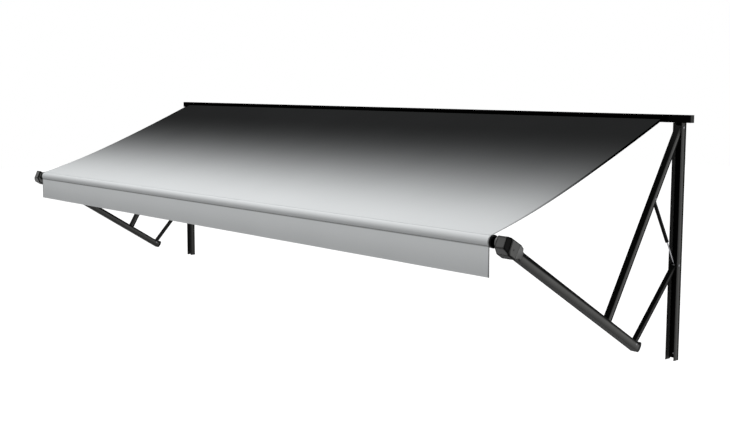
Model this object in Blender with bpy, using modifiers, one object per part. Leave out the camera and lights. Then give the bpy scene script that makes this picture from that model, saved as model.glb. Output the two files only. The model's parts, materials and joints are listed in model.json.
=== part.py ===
"""Patio awning with folding side arms, built as separate pieces.

Metres. X runs along the wall, -Y points away from the wall, +Z is up. The origin is the middle
of the back face of the awning rail, so the wall is the plane y = 0. The model is the fully open
awning. Every link is drawn straight along its own Z and hangs on an empty that stands on its
joint axis, so turning that empty about X swings the link.
"""

import math

import bmesh
import bpy
from mathutils import Matrix, Vector

# Widths along the wall
BRACKET_SPACING = 6.690
RAIL_OVERHANG = 0.100
FABRIC_SIDE_ROOM = 0.093

# Clearances
SEAT_GAP = 0.0003
PIN_GAP = 0.0003
SIDE_GAP = 0.0005

# How far a cutter runs past what it cuts, and the small bevel on moulded edges
CUT_PAST = 0.010
EDGE_BREAK = 0.0012

# Awning rail, an extrusion with a bead groove near the top of its front face
RAIL_HEIGHT = 0.056
RAIL_DEPTH = 0.044
RAIL_WALL = 0.003
RAIL_CAP_THICKNESS = 0.004
BEAD_RADIUS = 0.0045
BEAD_DROP = 0.010
GROOVE_LIP = 0.0035
GROOVE_SLOT = 0.0036

# Wall brackets, channels that open to the front
BRACKET_LENGTH = 1.753
BRACKET_WIDTH = 0.074
BRACKET_DEPTH = 0.058
BRACKET_WALL = 0.0035
BRACKET_NOTCH = 0.010
WALL_SCREW_INSET = 0.120
WALL_SCREW_LOW = 0.045
WALL_SCREW_RADIUS = 0.0085
WALL_SCREW_HEIGHT = 0.0055

# Side linkage: pivots in the bracket, link lengths and how far the long arm stands out
PIVOT_DEPTH = 0.037
TOP_PIVOT_DROP = 0.034
PIVOT_SPACING = 1.007
LONG_ARM_LENGTH = 1.559
LONG_ARM_ANGLE = 30.75
KNEE_SPACING = 0.372
SHORT_ARM_LENGTH = 0.702
LOWER_KNEE_OFFSET = 0.012
HEAD_REACH = 1.237
HEAD_OFFSET = 0.013

# Link sections, all folded channels
LONG_ARM_WIDTH = 0.048
LONG_ARM_DEPTH = 0.040
SHORT_ARM_WIDTH = 0.036
SHORT_ARM_DEPTH = 0.028
OUTER_ARM_WIDTH = 0.058
OUTER_ARM_DEPTH = 0.062
ARM_WALL = 0.003
ARM_END_RADIUS = 0.018
SHORT_END_RADIUS = 0.014
OUTER_ARM_TAIL = 0.038
WEB_CUT = 0.020

# Pins and bolts
PIN_RADIUS = 0.005
SLEEVE_RADIUS = 0.008
BOLT_HEAD_RADIUS = 0.009
BOLT_HEAD_HEIGHT = 0.006
HEAD_CROWN_SHARE = 0.35
PIN_HEAD_RADIUS = 0.008
PIN_HEAD_HEIGHT = 0.0025
TRUNNION_RADIUS = 0.009

# Sliding shoe that carries the foot of the long arm inside the outer arm
SHOE_LENGTH = 0.060
SHOE_BASE = 0.0055
SHOE_POST_LENGTH = 0.024
SHOE_POST_RADIUS = 0.010
SHOE_POST_GAP = 0.001

# Gas strut
STRUT_PLACE = 0.577
STRUT_OFFSET = 0.010
STRUT_TUBE_LENGTH = 0.375
STRUT_RADIUS = 0.0132
STRUT_BORE = 0.0105
ROD_RADIUS = 0.0048
ROD_INSIDE = 0.165
STRUT_EYE_RADIUS = 0.0095
STRUT_EYE_WIDTH = 0.014
ROD_EYE_WIDTH = 0.010
STRUT_EYE_DROP = 0.0152
STRUT_NECK_HALF = 0.0076
STRUT_NECK_TOP = 0.0038
STRUT_NECK_SUNK = 0.004
STRUT_TOP_WALL = 0.012
STRUT_END_WALL = 0.010
ROD_FOOT = 0.0057
PISTON_SUNK = 0.002
PISTON_RISE = 0.010

# End cap of the outer arm
ARM_CAP_THICKNESS = 0.006
ARM_CAP_LIP = 0.014
ARM_CAP_ROUND = 0.016
ARM_CAP_PLUG_HEIGHT = 0.022
ARM_CAP_PLUG_DEPTH = 0.012

# Awning head: a block past the roller's end, with a round boss that carries the roller's bearing
HEAD_INNER_GAP = 0.006
HEAD_BOSS_LENGTH = 0.049
HEAD_BOSS_RADIUS = 0.036
HEAD_OUTER_REACH = 0.078
HEAD_TAIL = 0.168
HEAD_NOSE = 0.0475
HEAD_NOSE_LEAN = 7.5
HEAD_TOP = 0.029
HEAD_CROWN_BACK = 0.132
HEAD_CROWN_RISE = 0.004
HEAD_NECK_BACK = 0.150
HEAD_CHIN_DROP = 0.052
HEAD_BOTTOM = 0.080
HEAD_BELLY_BACK = 0.060
HEAD_SLOPE_BACK = 0.135
HEAD_CHAMFER = 0.006
HEAD_CORNER_WIDTH = 0.030
HEAD_CORNER_RUN = 0.025
HEAD_SIDE_BACK = 0.060
HEAD_INNER_BACK = 0.080
HEAD_NUB_TOP = 0.032
HEAD_NUB_BACK = 0.170
HEAD_NUB_LENGTH = 0.022
HEAD_NUB_HALF = 0.016
SPIGOT_ROOT = 0.020
SPIGOT_LENGTH = 0.060
COVER_THICKNESS = 0.004
COVER_INSET = 0.014
HEAD_SCREW_RADIUS = 0.006
HEAD_SCREW_HEIGHT = 0.002

# Roller, its drive and its bearings
TUBE_RADIUS = 0.0390
TUBE_WALL = 0.0018
WRAP_THICKNESS = 0.0025
ROLLER_CAP_RADIUS = 0.0440
ROLLER_CAP_THICKNESS = 0.006
ROLLER_CAP_PLUG = 0.020
MOTOR_RADIUS = 0.0225
MOTOR_LENGTH = 0.560
MOTOR_SEAT = 0.030
SHAFT_RADIUS = 0.008
SHAFT_LENGTH = 0.025
CROWN_LENGTH = 0.018
IDLER_LENGTH = 0.140

# Fabric
FABRIC_THICKNESS = 0.0012
FABRIC_SAG = 0.030
FABRIC_EXIT = 0.001
VALANCE_DROP = 0.2026
CREASE_DROP = 0.0257
VALANCE_THICKNESS = 0.0012
HEM_RADIUS = 0.0022
CANOPY_STEPS = 14

# Sides of round pieces, and steps in a half circle of an outline
ROUND = 16
ROD_ROUND = 20
EYE_ROUND = 24
TUBE_ROUND = 28
ROLLER_ROUND = 32
ARC_STEPS = 12
GROOVE_STEPS = 20
SHELL_STEPS = 8
HEX = 6

# Places that follow from the sizes above
RAIL_LENGTH = BRACKET_SPACING + 2 * RAIL_OVERHANG
FABRIC_WIDTH = BRACKET_SPACING - 2 * FABRIC_SIDE_ROOM
RAIL_TOP = RAIL_HEIGHT / 2
BRACKET_TOP = -RAIL_HEIGHT / 2 - SEAT_GAP
TOP_PIVOT = Vector((0, -PIVOT_DEPTH, BRACKET_TOP - TOP_PIVOT_DROP))
LOW_PIVOT = TOP_PIVOT - Vector((0, 0, PIVOT_SPACING))


def down_at(angle):
    """Unit vector that hangs down and leans out from the wall by angle."""
    return Vector((0, -math.sin(angle), -math.cos(angle)))


def meet(centre_a, radius_a, centre_b, radius_b):
    """Lower crossing of two circles in the YZ plane."""
    between = centre_b - centre_a
    span = between.length
    along = (span**2 + radius_a**2 - radius_b**2) / (2 * span)
    rise = math.sqrt(radius_a**2 - along**2)
    step = between / span
    side = Vector((0, step.z, -step.y))
    points = [centre_a + step * along + side * rise, centre_a + step * along - side * rise]
    return min(points, key=lambda point: point.z)


LONG_LEAN = math.radians(LONG_ARM_ANGLE)
UPPER_KNEE = TOP_PIVOT + down_at(LONG_LEAN) * LONG_ARM_LENGTH
LOWER_KNEE = meet(UPPER_KNEE, KNEE_SPACING, LOW_PIVOT, SHORT_ARM_LENGTH)
SHORT_LEAN = math.atan2(LOW_PIVOT.y - LOWER_KNEE.y, LOW_PIVOT.z - LOWER_KNEE.z)
KNEE_RUN = math.sqrt(KNEE_SPACING**2 - LOWER_KNEE_OFFSET**2)
KNEE_LINE = UPPER_KNEE - LOWER_KNEE
OUTER_LEAN = math.atan2(-KNEE_LINE.y, KNEE_LINE.z) - math.atan2(LOWER_KNEE_OFFSET, KNEE_RUN)
OUTER_TURN = Matrix.Rotation(OUTER_LEAN, 3, "X")
ROLLER_AXIS = UPPER_KNEE + OUTER_TURN @ Vector((0, HEAD_OFFSET, HEAD_REACH))
LONG_TURN = Matrix.Rotation(-LONG_LEAN, 3, "X")
STRUT_TOP = TOP_PIVOT + LONG_TURN @ Vector((0, STRUT_OFFSET, -STRUT_PLACE))
STRUT_SPAN = (LOW_PIVOT - STRUT_TOP).length
STRUT_LEAN = math.atan2(LOW_PIVOT.y - STRUT_TOP.y, STRUT_TOP.z - LOW_PIVOT.z)
WRAP_RADIUS = TUBE_RADIUS + SEAT_GAP + WRAP_THICKNESS
ROLLER_HALF = FABRIC_WIDTH / 2
HEAD_INNER = ROLLER_HALF + ROLLER_CAP_THICKNESS + HEAD_INNER_GAP
HEAD_OUTER = BRACKET_SPACING / 2 + HEAD_OUTER_REACH

COLLECTION_NAME = "awning"


def clear_scene():
    for item in list(bpy.data.objects):
        bpy.data.objects.remove(item, do_unlink=True)


def new_collection(name):
    found = bpy.data.collections.get(name)
    if found is None:
        found = bpy.data.collections.new(name)
        bpy.context.scene.collection.children.link(found)
    return found


def make_material(name, colour, roughness, metallic=0.0):
    material = bpy.data.materials.new(name)
    material.use_nodes = True
    shader = material.node_tree.nodes["Principled BSDF"]
    shader.inputs["Base Color"].default_value = (*colour, 1)
    shader.inputs["Roughness"].default_value = roughness
    shader.inputs["Metallic"].default_value = metallic
    material.diffuse_color = (*colour, 1)
    return material


def mesh_from(build):
    """Mesh of a bmesh that the given function fills."""
    mesh = bpy.data.meshes.new("mesh")
    work = bmesh.new()
    build(work)
    bmesh.ops.recalc_face_normals(work, faces=work.faces)
    work.to_mesh(mesh)
    work.free()
    return mesh


def box_mesh(low, high):
    """Block between two corners."""
    low, high = Vector(low), Vector(high)

    def build(work):
        bmesh.ops.create_cube(work, size=1)
        bmesh.ops.scale(work, vec=high - low, verts=work.verts)
        bmesh.ops.translate(work, vec=(low + high) / 2, verts=work.verts)

    return mesh_from(build)


def rod_mesh(start, end, radius, segments=ROUND):
    """Round bar between two points."""
    start, end = Vector(start), Vector(end)
    axis = end - start
    turn = axis.to_track_quat("Z", "Y").to_matrix().to_4x4()

    def build(work):
        bmesh.ops.create_cone(
            work, cap_ends=True, segments=segments, radius1=radius, radius2=radius,
            depth=axis.length, matrix=Matrix.Translation((start + end) / 2) @ turn,
        )

    return mesh_from(build)


def plate_mesh(loops, half_thickness, placing):
    """Flat outline, with holes where loops lie inside each other, given a thickness."""
    curve = bpy.data.curves.new("outline", "CURVE")
    curve.dimensions = "2D"
    curve.fill_mode = "BOTH"
    curve.extrude = half_thickness
    for loop in loops:
        spline = curve.splines.new("POLY")
        spline.points.add(len(loop) - 1)
        for point, (across, up) in zip(spline.points, loop):
            point.co = (across, up, 0, 1)
        spline.use_cyclic_u = True
    flat = bpy.data.objects.new("outline", curve)
    bpy.context.scene.collection.objects.link(flat)
    shape = flat.evaluated_get(bpy.context.evaluated_depsgraph_get())
    mesh = bpy.data.meshes.new_from_object(shape)
    bpy.data.objects.remove(flat)
    bpy.data.curves.remove(curve)
    work = bmesh.new()
    work.from_mesh(mesh)
    bmesh.ops.remove_doubles(work, verts=work.verts, dist=0.00001)
    bmesh.ops.transform(work, matrix=placing, verts=work.verts)
    bmesh.ops.recalc_face_normals(work, faces=work.faces)
    work.to_mesh(mesh)
    work.free()
    return mesh


# The outline's two axes become Y and Z, and its thickness runs along X
SIDE_ON = Matrix(((0, 0, 1, 0), (1, 0, 0, 0), (0, 1, 0, 0), (0, 0, 0, 1)))


def side_plate(loops, low_x, high_x):
    """Outline drawn in Y and Z, filling the width from low_x to high_x."""
    placing = Matrix.Translation(((low_x + high_x) / 2, 0, 0)) @ SIDE_ON
    return plate_mesh(loops, (high_x - low_x) / 2, placing)


def long_section(loops, low_z, high_z):
    """Section drawn in X and Y, running from low_z to high_z."""
    placing = Matrix.Translation((0, 0, (low_z + high_z) / 2))
    return plate_mesh(loops, (high_z - low_z) / 2, placing)


def arc(centre, radius, start, end, steps):
    """Points on an arc, with both angles in degrees."""
    points = []
    for index in range(steps + 1):
        angle = math.radians(start + (end - start) * index / steps)
        points.append((centre[0] + radius * math.cos(angle), centre[1] + radius * math.sin(angle)))
    return points


def stadium(low, high, radius_low, radius_high):
    """Bar outline in Y and Z with round ends about two points on the Z axis."""
    upper = arc((0, high), radius_high, 0, 180, ARC_STEPS)
    lower = arc((0, low), radius_low, 180, 360, ARC_STEPS)
    return upper + lower


class Shop:
    """Keeps the collections, and makes, cuts and parents the pieces."""

    def __init__(self):
        self.parts = new_collection(COLLECTION_NAME)
        self.tools = new_collection(COLLECTION_NAME + "_cutters")
        self.materials = {}

    def material_for(self, name, finish):
        colour, roughness, metallic = finish
        return make_material(name + "_finish", colour, roughness, metallic)

    def empty(self, name, place, turn=0.0):
        item = bpy.data.objects.new(name, None)
        item.empty_display_size = 0.05
        item.location = place
        item.rotation_euler = (turn, 0, 0)
        self.parts.objects.link(item)
        return item

    def piece(self, name, mesh, finish, parent=None, smooth=False):
        item = bpy.data.objects.new(name, mesh)
        mesh.name = name
        mesh.materials.clear()
        mesh.materials.append(self.material_for(name, finish))
        if smooth:
            mesh.shade_smooth()
            mesh.set_sharp_from_angle(angle=math.radians(35))
        item.parent = parent
        self.parts.objects.link(item)
        return item

    def change(self, item, mesh, operation):
        """Cut, join or trim a piece with a mesh drawn in the same frame."""
        tool = bpy.data.objects.new(item.name + "_tool", mesh)
        tool.hide_render = True
        tool.display_type = "WIRE"
        tool.parent = item.parent
        self.tools.objects.link(tool)
        step = item.modifiers.new(operation.lower(), "BOOLEAN")
        step.operation = operation
        step.solver = "EXACT"
        step.object = tool
        return item

    def cut(self, item, mesh):
        return self.change(item, mesh, "DIFFERENCE")

    def join(self, item, mesh):
        return self.change(item, mesh, "UNION")

    def trim(self, item, mesh):
        return self.change(item, mesh, "INTERSECT")


BLACK_PAINT = ((0.012, 0.012, 0.013), 0.42, 0.0)
DARK_PLASTIC = ((0.016, 0.016, 0.017), 0.55, 0.0)
STEEL = ((0.42, 0.42, 0.43), 0.30, 1.0)
ZINC = ((0.30, 0.30, 0.31), 0.42, 1.0)
CHROME = ((0.62, 0.62, 0.63), 0.12, 1.0)
FABRIC = ((0.25, 0.26, 0.27), 0.80, 0.0)
PALE_FABRIC = ((0.50, 0.52, 0.53), 0.80, 0.0)
MILL_ALUMINIUM = ((0.55, 0.55, 0.56), 0.38, 1.0)


def channel_loop(width, depth, wall):
    """Channel section whose web lies on the side away from the wall."""
    half = width / 2
    inner = half - wall
    front, back = -depth / 2, depth / 2
    return [
        (-half, front), (half, front), (half, back), (inner, back),
        (inner, front + wall), (-inner, front + wall), (-inner, back), (-half, back),
    ]


def cross_rod(radius, half_length, centre=(0, 0, 0), segments=ROUND):
    """Round bar along X through a point."""
    reach = Vector((half_length, 0, 0))
    return rod_mesh(Vector(centre) - reach, Vector(centre) + reach, radius, segments)


def turned(shop, name, profile, finish, parent, place=(0, 0, 0), side=1, steps=ROUND):
    """Piece turned about X: the profile lists distance along X and radius, outer end first."""
    mesh = bpy.data.meshes.new(name)
    work = bmesh.new()
    points = [work.verts.new((radius, 0, along)) for along, radius in profile]
    for first, second in zip(points, points[1:]):
        work.edges.new((first, second))
    work.to_mesh(mesh)
    work.free()
    item = shop.piece(name, mesh, finish, parent)
    item.location = place
    item.rotation_euler = (0, math.radians(90 * side), 0)
    spin = item.modifiers.new("turn", "SCREW")
    spin.steps = spin.render_steps = steps
    spin.use_merge_vertices = True
    spin.merge_threshold = 0.00005
    spin.use_smooth_shade = True
    return item


def build_rail(shop):
    """Hollow extrusion, the rope bead that holds the fabric in it, and two end caps."""
    front, top, bottom = -RAIL_DEPTH, RAIL_TOP, -RAIL_TOP
    half = RAIL_LENGTH / 2
    bead = (front + GROOVE_LIP + BEAD_RADIUS + SEAT_GAP, top - BEAD_DROP)
    groove = BEAD_RADIUS + SEAT_GAP
    mouth = math.degrees(math.asin(GROOVE_SLOT / 2 / groove))
    outer = [(0, bottom), (0, top), (front, top), (front, bead[1] + GROOVE_SLOT / 2)]
    outer += arc(bead, groove, 180 - mouth, -180 + mouth, GROOVE_STEPS)
    outer += [(front, bead[1] - GROOVE_SLOT / 2), (front, bottom)]
    ledge = bead[1] - groove - RAIL_WALL
    lower_room = [
        (-RAIL_WALL, bottom + RAIL_WALL), (front + RAIL_WALL, bottom + RAIL_WALL),
        (front + RAIL_WALL, ledge), (-RAIL_WALL, ledge),
    ]
    upper_front = bead[0] + groove + RAIL_WALL
    upper_room = [
        (-RAIL_WALL, ledge + RAIL_WALL), (upper_front, ledge + RAIL_WALL),
        (upper_front, top - RAIL_WALL), (-RAIL_WALL, top - RAIL_WALL),
    ]
    length = half - RAIL_CAP_THICKNESS - SEAT_GAP
    shop.piece("awning_rail", side_plate([outer, lower_room, upper_room], -length, length),
               BLACK_PAINT)
    bead_mesh = rod_mesh((-ROLLER_HALF, *bead), (ROLLER_HALF, *bead), BEAD_RADIUS - SEAT_GAP, ROD_ROUND)
    shop.piece("fabric_bead", bead_mesh, FABRIC, smooth=True)
    for side, word in SIDES:
        low, high = sorted((side * half, side * (half - RAIL_CAP_THICKNESS)))
        cap = shop.piece(word + "_rail_cap",
                         box_mesh((low, front, bottom), (high, 0, top)), DARK_PLASTIC)
        edge = cap.modifiers.new("edge", "BEVEL")
        edge.width = EDGE_BREAK
        edge.segments = 1
    return bead


def build_bracket(shop, side, word):
    """Wall channel, open to the front, with its two wall screws."""
    half = BRACKET_WIDTH / 2
    inner = half - BRACKET_WALL
    frame = shop.empty(word + "_bracket_place", (side * BRACKET_SPACING / 2, 0, 0))
    section = [
        (-half, 0), (-half, -BRACKET_DEPTH), (-inner, -BRACKET_DEPTH), (-inner, -BRACKET_WALL),
        (inner, -BRACKET_WALL), (inner, -BRACKET_DEPTH), (half, -BRACKET_DEPTH), (half, 0),
    ]
    low = BRACKET_TOP - BRACKET_LENGTH
    bracket = shop.piece(word + "_wall_bracket", long_section([section], low, BRACKET_TOP),
                         BLACK_PAINT, frame)
    notch = box_mesh((-inner, -BRACKET_DEPTH, low - BRACKET_NOTCH), (inner, CUT_PAST, low + BRACKET_NOTCH))
    shop.cut(bracket, notch)
    hole = cross_rod(PIN_RADIUS + PIN_GAP, half + CUT_PAST, TOP_PIVOT)
    shop.cut(bracket, hole)
    shop.cut(bracket, cross_rod(PIN_RADIUS + PIN_GAP, half + CUT_PAST, LOW_PIVOT))
    heights = (BRACKET_TOP - WALL_SCREW_INSET, low + WALL_SCREW_LOW)
    for height, spot in zip(heights, ("upper", "lower")):
        seat = -BRACKET_WALL - SEAT_GAP
        head = rod_mesh((0, seat, height), (0, seat - WALL_SCREW_HEIGHT, height),
                        WALL_SCREW_RADIUS, HEX)
        shop.piece(word + "_wall_screw_" + spot, head, ZINC, frame)


def bolt_profile(reach_out, head_radius, head_height, shank_radius, reach_in):
    """Half section of a bolt from the top of its head to the tip of its shank."""
    crown = head_height * HEAD_CROWN_SHARE
    return [
        (reach_out + head_height, 0), (reach_out + head_height, head_radius - crown),
        (reach_out + head_height - crown, head_radius), (reach_out, head_radius),
        (reach_out, shank_radius), (reach_in, shank_radius), (reach_in, 0),
    ]


def build_pivots(shop, side, word):
    """Bolts in the bracket: a through bolt on its sleeve above, two short screws below."""
    centre = Vector((side * BRACKET_SPACING / 2, 0, 0))
    half = BRACKET_WIDTH / 2
    inner = half - BRACKET_WALL
    outside = half + SEAT_GAP
    top = bolt_profile(outside, BOLT_HEAD_RADIUS, BOLT_HEAD_HEIGHT, PIN_RADIUS, -outside)
    nut = [
        (-outside, PIN_RADIUS), (-outside, BOLT_HEAD_RADIUS),
        (-outside - BOLT_HEAD_HEIGHT, BOLT_HEAD_RADIUS), (-outside - BOLT_HEAD_HEIGHT, 0),
    ]
    turned(shop, word + "_top_pivot_bolt", top[:-2] + nut, ZINC, None,
           centre + TOP_PIVOT, side)
    sleeve_half = inner - SIDE_GAP
    sleeve = shop.piece(word + "_top_pivot_sleeve",
                        cross_rod(SLEEVE_RADIUS, sleeve_half, centre + TOP_PIVOT), STEEL, None)
    shop.cut(sleeve, cross_rod(PIN_RADIUS + PIN_GAP, half, centre + TOP_PIVOT))
    for direction, spot in ((side, "outer"), (-side, "inner")):
        screw = bolt_profile(outside, BOLT_HEAD_RADIUS, BOLT_HEAD_HEIGHT, PIN_RADIUS, inner)
        turned(shop, word + "_low_pivot_screw_" + spot, screw, ZINC, None,
               centre + LOW_PIVOT, direction)


def build_long_arm(shop, side, word):
    """Long channel from the top pivot to the sliding shoe, with the strut's upper pin."""
    joint = shop.empty(word + "_long_arm_joint",
                       Vector((side * BRACKET_SPACING / 2, 0, 0)) + TOP_PIVOT, -LONG_LEAN)
    radius = ARM_END_RADIUS
    arm = shop.piece(
        word + "_long_arm",
        long_section([channel_loop(LONG_ARM_WIDTH, LONG_ARM_DEPTH, ARM_WALL)],
                     -LONG_ARM_LENGTH - 2 * radius, 2 * radius),
        BLACK_PAINT, joint)
    half = LONG_ARM_DEPTH / 2
    reach = LONG_ARM_WIDTH
    outline = [(half, -LONG_ARM_LENGTH + radius), (half, -radius)]
    outline += arc((0, 0), radius, 0, 180, ARC_STEPS)
    outline += [(-half, -radius), (-half, -LONG_ARM_LENGTH + radius)]
    outline += arc((0, -LONG_ARM_LENGTH), radius, 180, 360, ARC_STEPS)
    shop.trim(arm, side_plate([outline], -reach, reach))
    inner = LONG_ARM_WIDTH / 2 - ARM_WALL
    foot = box_mesh((-inner, -LONG_ARM_DEPTH, -LONG_ARM_LENGTH - 2 * radius),
                    (inner, LONG_ARM_DEPTH, -LONG_ARM_LENGTH + WEB_CUT))
    shop.cut(arm, foot)
    shop.cut(arm, cross_rod(SLEEVE_RADIUS + PIN_GAP, reach))
    shop.cut(arm, cross_rod(PIN_RADIUS + PIN_GAP, reach, (0, 0, -LONG_ARM_LENGTH)))
    strut_spot = (0, STRUT_OFFSET, -STRUT_PLACE)
    shop.cut(arm, cross_rod(PIN_RADIUS + PIN_GAP, reach, strut_spot))
    pin_half = LONG_ARM_WIDTH / 2
    shop.piece(word + "_strut_top_pin", cross_rod(PIN_RADIUS, pin_half, strut_spot), STEEL,
               joint, smooth=True)


def build_shoe(shop, side, word):
    """Shoe that slides on the floor of the outer arm, and the pin that holds the long arm."""
    joint = shop.empty(word + "_shoe_joint",
                       Vector((side * BRACKET_SPACING / 2, 0, 0)) + UPPER_KNEE, OUTER_LEAN)
    floor = -OUTER_ARM_DEPTH / 2 + ARM_WALL + SEAT_GAP
    base_half = OUTER_ARM_WIDTH / 2 - ARM_WALL - SEAT_GAP
    shoe = shop.piece(
        word + "_arm_shoe",
        box_mesh((-base_half, floor, -SHOE_LENGTH / 2),
                 (base_half, floor + SHOE_BASE, SHOE_LENGTH / 2)),
        DARK_PLASTIC, joint)
    post_half = LONG_ARM_WIDTH / 2 - ARM_WALL - SHOE_POST_GAP
    foot = SHOE_POST_LENGTH / 2
    post = arc((0, 0), SHOE_POST_RADIUS, -90, 90, ARC_STEPS)
    post += [(floor + SHOE_BASE / 2, foot), (floor + SHOE_BASE / 2, -foot)]
    shop.join(shoe, side_plate([post], -post_half, post_half))
    shop.cut(shoe, cross_rod(PIN_RADIUS + PIN_GAP, LONG_ARM_WIDTH))
    pin_half = OUTER_ARM_WIDTH / 2 - ARM_WALL - SIDE_GAP
    shop.piece(word + "_upper_knee_pin", cross_rod(PIN_RADIUS, pin_half), STEEL, joint,
               smooth=True)


def build_outer_arm(shop, side, word):
    """Deep channel that carries the head, open towards the wall, its end cap and lower pin."""
    joint = shop.empty(word + "_outer_arm_joint",
                       Vector((side * BRACKET_SPACING / 2, 0, 0)) + UPPER_KNEE, OUTER_LEAN)
    low = -KNEE_RUN - OUTER_ARM_TAIL
    high = HEAD_REACH - HEAD_TAIL
    arm = shop.piece(
        word + "_outer_arm",
        long_section([channel_loop(OUTER_ARM_WIDTH, OUTER_ARM_DEPTH, ARM_WALL)], low, high),
        BLACK_PAINT, joint)
    knee = (0, LOWER_KNEE_OFFSET, -KNEE_RUN)
    shop.cut(arm, cross_rod(PIN_RADIUS + PIN_GAP, OUTER_ARM_WIDTH, knee))
    half = OUTER_ARM_WIDTH / 2
    outside = half + SEAT_GAP
    head = bolt_profile(outside, PIN_HEAD_RADIUS, PIN_HEAD_HEIGHT, PIN_RADIUS, -outside)
    tail = [
        (-outside, PIN_RADIUS), (-outside, PIN_HEAD_RADIUS),
        (-outside - PIN_HEAD_HEIGHT, PIN_HEAD_RADIUS), (-outside - PIN_HEAD_HEIGHT, 0),
    ]
    turned(shop, word + "_lower_knee_pin", head[:-2] + tail, ZINC, joint, knee, side)
    cap_low = low - SEAT_GAP - ARM_CAP_THICKNESS
    deep = OUTER_ARM_DEPTH / 2
    wide = deep + ARM_CAP_LIP / 2
    outline = [(-deep, low - SEAT_GAP)]
    for across, up in arc((ARM_CAP_LIP / 2, 0), wide, 180, 360, ARC_STEPS):
        outline.append((across, cap_low + up * ARM_CAP_ROUND / wide))
    outline.append((deep + ARM_CAP_LIP, low - SEAT_GAP))
    cap = shop.piece(word + "_arm_end_cap", side_plate([outline], -half, half), DARK_PLASTIC, joint)
    plug_half = half - ARM_WALL - SEAT_GAP
    plug = box_mesh((-plug_half, -deep + ARM_WALL + SEAT_GAP, low - 2 * SEAT_GAP),
                    (plug_half, -deep + ARM_CAP_PLUG_HEIGHT, low + ARM_CAP_PLUG_DEPTH))
    shop.join(cap, plug)
    return joint


def nose_at(height, depth=0.0):
    """How far along the arm the leaning front face is at a height, or a plane that deep behind it."""
    lean = math.radians(HEAD_NOSE_LEAN)
    return (HEAD_NOSE - depth) / math.cos(lean) + height * math.tan(lean)


def head_outline(tail):
    """Side outline of the head about the roller axis, in Y and Z of the outer arm."""
    arm_top = OUTER_ARM_DEPTH / 2 - HEAD_OFFSET
    arm_bottom = -OUTER_ARM_DEPTH / 2 - HEAD_OFFSET
    return [
        (arm_bottom, -tail), (arm_bottom, -HEAD_SLOPE_BACK),
        (-HEAD_BOTTOM, -HEAD_BELLY_BACK), (-HEAD_BOTTOM, 0),
        (-HEAD_CHIN_DROP, nose_at(-HEAD_CHIN_DROP)), (HEAD_TOP, nose_at(HEAD_TOP)),
        (HEAD_TOP + HEAD_CROWN_RISE, -HEAD_CROWN_BACK), (arm_top, -HEAD_NECK_BACK), (arm_top, -tail),
    ]


def side_face():
    """Flat part of the head's outer side, behind the bevelled corner and before the taper."""
    return [
        (HEAD_TOP, nose_at(HEAD_TOP, HEAD_CORNER_RUN)), (HEAD_TOP, -HEAD_SIDE_BACK),
        (-HEAD_BOTTOM, -HEAD_SIDE_BACK), (-HEAD_BOTTOM, 0),
        (-HEAD_CHIN_DROP, nose_at(-HEAD_CHIN_DROP, HEAD_CORNER_RUN)),
    ]


def leaning_wedge(loop, side, lean):
    """Outline of outward distance and distance back along the arm, made thick across the arm."""
    points = [(side * outward, back) for outward, back in loop]
    mesh = long_section([points], -HEAD_TAIL, HEAD_TAIL)
    mesh.transform(Matrix.Rotation(math.radians(lean - 90), 4, "X"))
    return mesh


def shrink(loop, inset):
    """Outline scaled towards its middle so that its longest reach loses the inset."""
    mid = Vector((sum(p[0] for p in loop) / len(loop), sum(p[1] for p in loop) / len(loop)))
    reach = max((Vector(point) - mid).length for point in loop)
    share = (reach - inset) / reach
    return [tuple(mid + (Vector(point) - mid) * share) for point in loop]


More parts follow.
